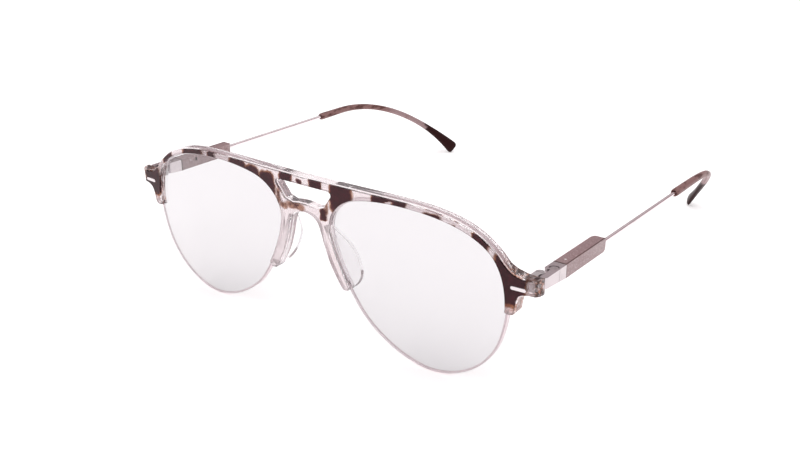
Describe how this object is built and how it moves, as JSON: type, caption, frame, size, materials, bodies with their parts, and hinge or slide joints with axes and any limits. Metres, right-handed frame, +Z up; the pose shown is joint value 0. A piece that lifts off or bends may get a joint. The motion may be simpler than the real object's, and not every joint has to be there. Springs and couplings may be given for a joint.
{
  "type": "smart glasses",
  "caption": "Half-rim folding eyeglasses with a straight top bar, arched bridge, nose pads, spring hinges, slim temple housings, wire temples and flared tips",
  "frame": {"origin": "middle of the bounding box's base, on the table the glasses stand on", "axes": "+X to the wearer's left, +Y back along the temples, +Z up"},
  "size_m": [0.1434, 0.1516, 0.0474],
  "materials": {
    "crystal_acetate": "polished clear acetate",
    "tortoise_acetate": "polished dark and clear spotted acetate",
    "lens_plastic": "polished lens plastic",
    "nylon_cord": "clear drawn nylon",
    "pad_silicone": "frosted clear silicone",
    "bright_metal": "polished silver plating",
    "hinge_steel": "satin steel",
    "spring_steel": "drawn wire",
    "screw_steel": "turned steel",
    "dark_rivet": "dark turned steel",
    "pod_plastic": "rose grey plastic with fine metallic flake",
    "cell_can": "drawn can",
    "board_laminate": "green laminate with dark chips",
    "contact_gold": "gold plating",
    "light_plastic": "clear light guide",
    "wire_metal": "polished silver wire",
    "tip_acetate": "polished translucent brown acetate"
  },
  "bodies": {
    "front": {"front_frame": "crystal_acetate", "pattern_facing": "tortoise_acetate", "left_lens": "lens_plastic", "left_lens_cord": "nylon_cord", "left_nose_pad": "pad_silicone", "left_accent_bar": "bright_metal", "left_hinge_leaf": "hinge_steel", "left_core_rivet": "dark_rivet", "left_hinge_screw": "hinge_steel", "right_lens": "lens_plastic", "right_lens_cord": "nylon_cord", "right_nose_pad": "pad_silicone", "right_accent_bar": "bright_metal", "right_hinge_leaf": "hinge_steel", "right_core_rivet": "dark_rivet", "right_hinge_screw": "hinge_steel"},
    "left_hinge": {"left_slider": "hinge_steel", "left_slider_nut": "hinge_steel"},
    "left_temple": {"left_slider_spring": "spring_steel", "left_hinge_box": "bright_metal", "left_box_screw": "screw_steel", "left_housing": "pod_plastic", "left_housing_cover": "pod_plastic", "left_cell": "cell_can", "left_board": "board_laminate", "left_contacts": "contact_gold", "left_temple_wire": "wire_metal", "left_temple_tip": "tip_acetate", "left_light_guide": "light_plastic"},
    "right_hinge": {"right_slider": "hinge_steel", "right_slider_nut": "hinge_steel"},
    "right_temple": {"right_slider_spring": "spring_steel", "right_hinge_box": "bright_metal", "right_box_screw": "screw_steel", "right_housing": "pod_plastic", "right_housing_cover": "pod_plastic", "right_cell": "cell_can", "right_board": "board_laminate", "right_contacts": "contact_gold", "right_temple_wire": "wire_metal", "right_temple_tip": "tip_acetate"}
  },
  "joints": [
    {"name": "left_fold", "type": "hinge", "parent": "front", "child": "left_hinge", "pos_m": [0.0682, -0.06597, 0.0322], "axis": [0, 0, 1], "range_deg": [-6, 87]},
    {"name": "left_pull", "type": "slide", "parent": "left_hinge", "child": "left_temple", "axis": [0, 0.9991, -0.0424], "range_m": [0, 0.0008], "stiffness_N_per_m": 2000, "springref_m": -0.0008, "deforming": ["left_slider_spring"]},
    {"name": "right_fold", "type": "hinge", "parent": "front", "child": "right_hinge", "pos_m": [-0.0682, -0.06597, 0.0322], "axis": [0, 0, -1], "range_deg": [-6, 83.5]},
    {"name": "right_pull", "type": "slide", "parent": "right_hinge", "child": "right_temple", "axis": [0, 0.9991, -0.0424], "range_m": [0, 0.0008], "stiffness_N_per_m": 2000, "springref_m": -0.0008, "deforming": ["right_slider_spring"]}
  ]
}
